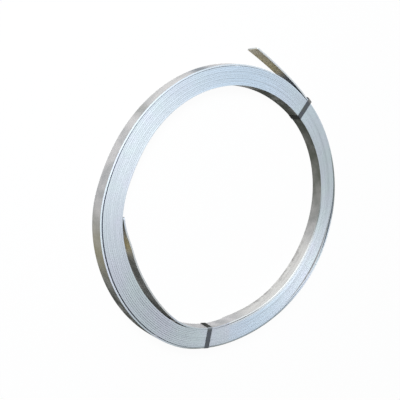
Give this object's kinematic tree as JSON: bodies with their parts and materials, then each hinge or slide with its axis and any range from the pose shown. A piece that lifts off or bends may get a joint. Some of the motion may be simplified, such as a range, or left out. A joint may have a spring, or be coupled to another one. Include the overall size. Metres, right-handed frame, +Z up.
{
  "type": "coil of galvanised steel strip",
  "caption": "Ring-shaped coil of hot-dip galvanised flat steel strip with a wide open eye, a free straight tail and a sprung inner end, tied by dark steel straps.",
  "frame": {"origin": "on the coil's axis, in the plane of the floor that it lies on", "axes": "+Z up along the coil's axis; angles run counter-clockwise from +X, and the tail leaves the coil at about 53 degrees"},
  "size_m": [0.662, 0.6907, 0.0315],
  "materials": {
    "galvanised_steel": "satin, mottled zinc",
    "steel_strap": "dark waxed strapping, satin"
  },
  "bodies": {
    "root": {"strip_coil": "galvanised_steel", "tail_strap": "steel_strap", "inner_end_strap": "steel_strap"}
  },
  "joints": []
}
